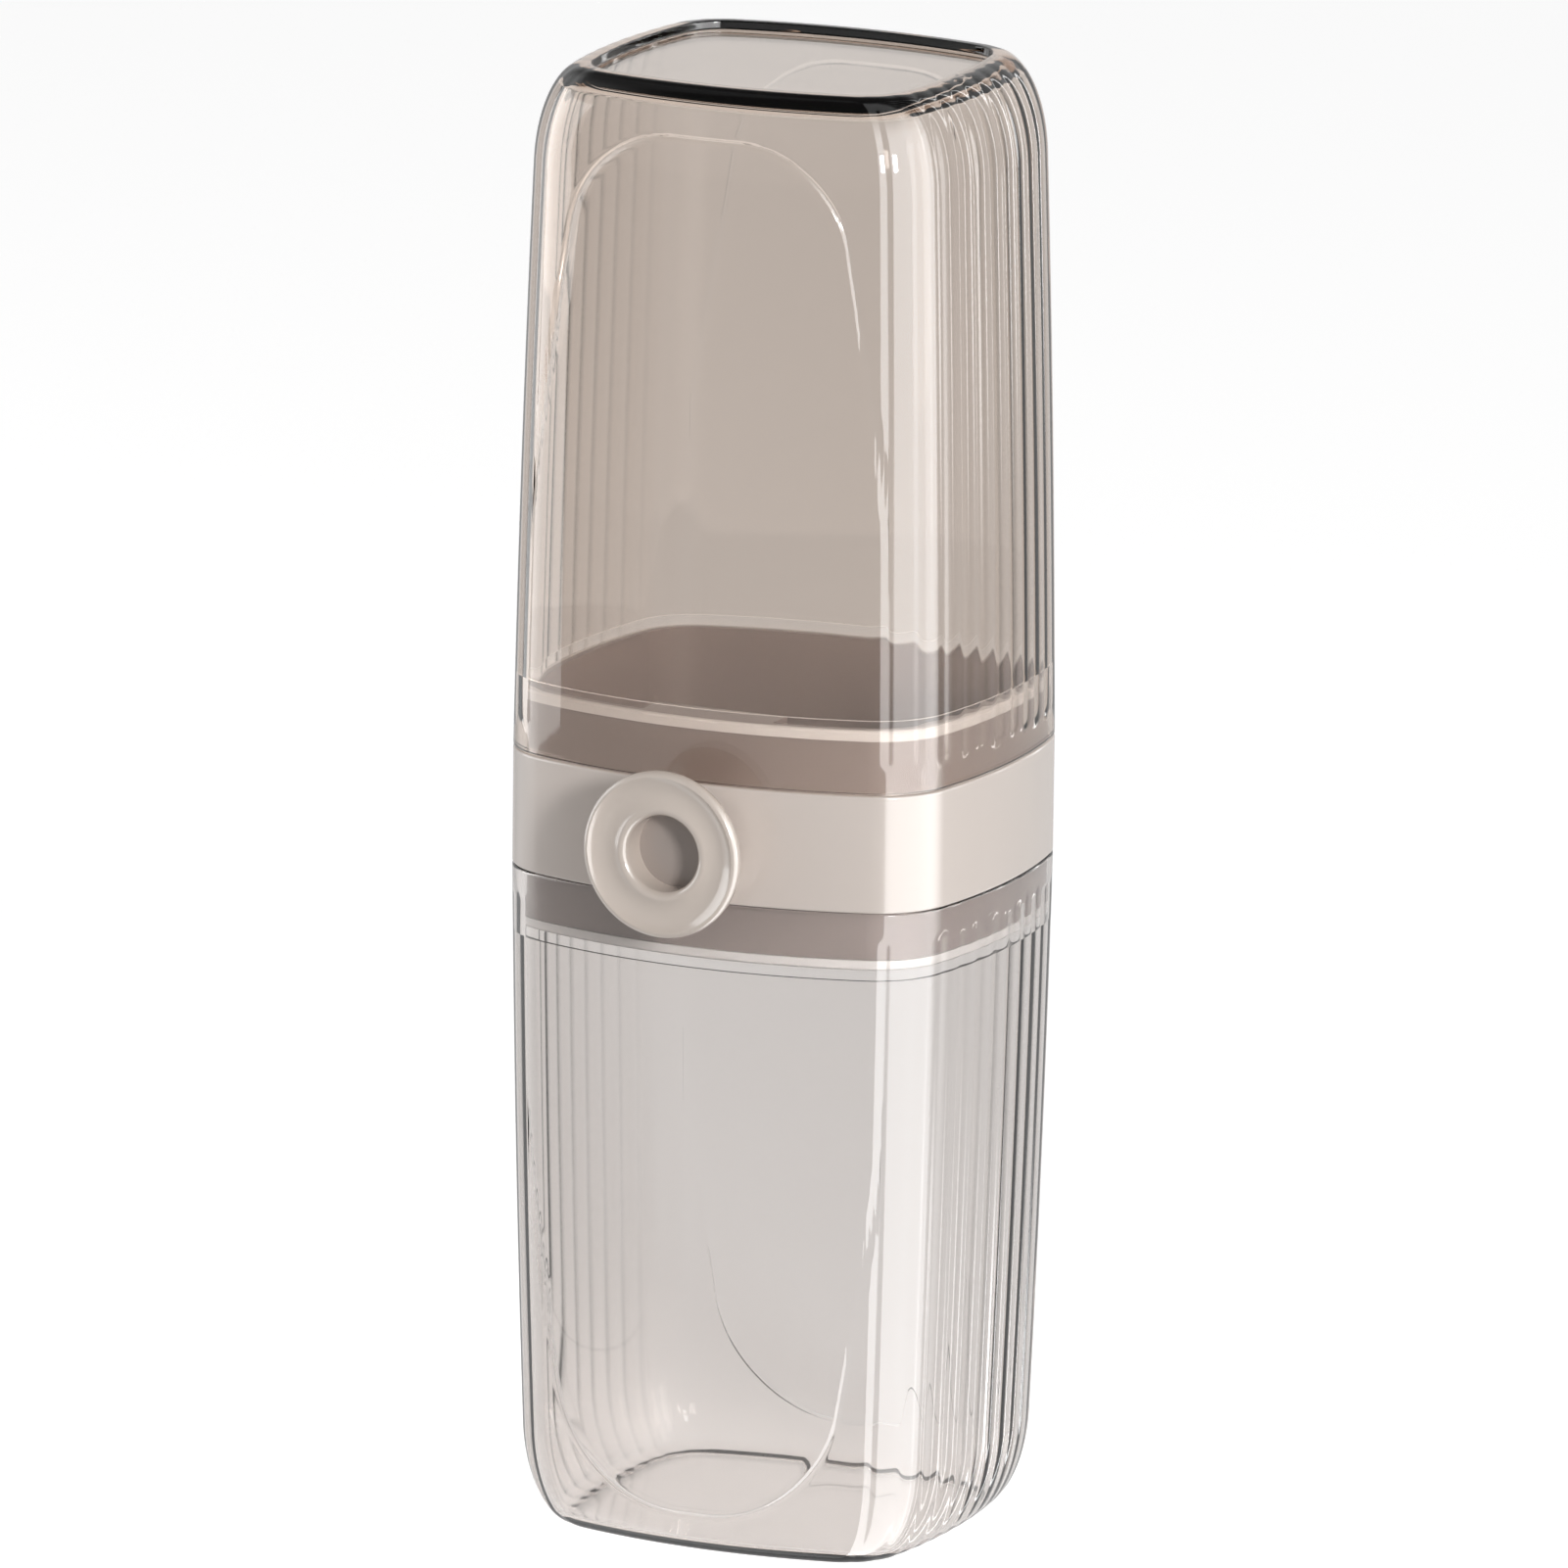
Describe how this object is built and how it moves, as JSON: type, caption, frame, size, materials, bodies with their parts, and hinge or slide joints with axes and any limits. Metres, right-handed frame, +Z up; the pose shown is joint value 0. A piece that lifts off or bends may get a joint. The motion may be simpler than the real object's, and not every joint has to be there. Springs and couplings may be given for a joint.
{
  "type": "travel toothbrush case",
  "caption": "Upright clear two-cup travel case with reeded sides, an opaque joining band and a ring-shaped push button that frees the base.",
  "frame": {"origin": "centre of the flat underside of the base cup, on the cups' common axis", "axes": "+Z up along the case, -Y out of the front where the button is, +X to the right seen from the front"},
  "size_m": [0.0706, 0.0725, 0.212],
  "materials": {
    "clear_base": "clear, almost colourless moulded plastic, polished, with vertical reeds",
    "clear_cover": "clear moulded plastic with a warm smoke tint, polished, with vertical reeds",
    "sleeve": "satin moulded taupe plastic",
    "band": "glossy moulded greige plastic",
    "button": "glossy moulded greige plastic, dished",
    "button_core": "glossy moulded plastic, a shade darker",
    "seal": "soft translucent silicone",
    "spring": "bright spring steel",
    "tongue": "springy moulded plastic",
    "screw": "plated steel"
  },
  "bodies": {
    "base": {"base_cup": "clear_base"},
    "ring": {"inner_sleeve": "sleeve", "outer_band": "band", "upper_seal": "seal", "lower_seal": "seal", "button_guide": "sleeve", "latch_tongue": "tongue", "latch_screws": "screw", "latch_guard": "sleeve", "guard_screws": "screw"},
    "cover": {"cover_cup": "clear_cover"},
    "button": {"button_ring": "button", "button_stem": "button_core", "button_clip": "spring", "button_spring": "spring"}
  },
  "joints": [
    {"name": "ring_lift", "type": "slide", "parent": "base", "child": "ring", "axis": [0, 0, 1], "range_m": [0, 0.03], "deforming": ["latch_tongue"]},
    {"name": "cover_lift", "type": "slide", "parent": "ring", "child": "cover", "axis": [0, 0, 1], "range_m": [0, 0.04]},
    {"name": "button_press", "type": "slide", "parent": "ring", "child": "button", "axis": [0, 1, 0], "range_m": [0, 0.0016], "stiffness_N_per_m": 900, "springref_m": -0.001, "deforming": ["button_spring", "latch_tongue"]}
  ]
}
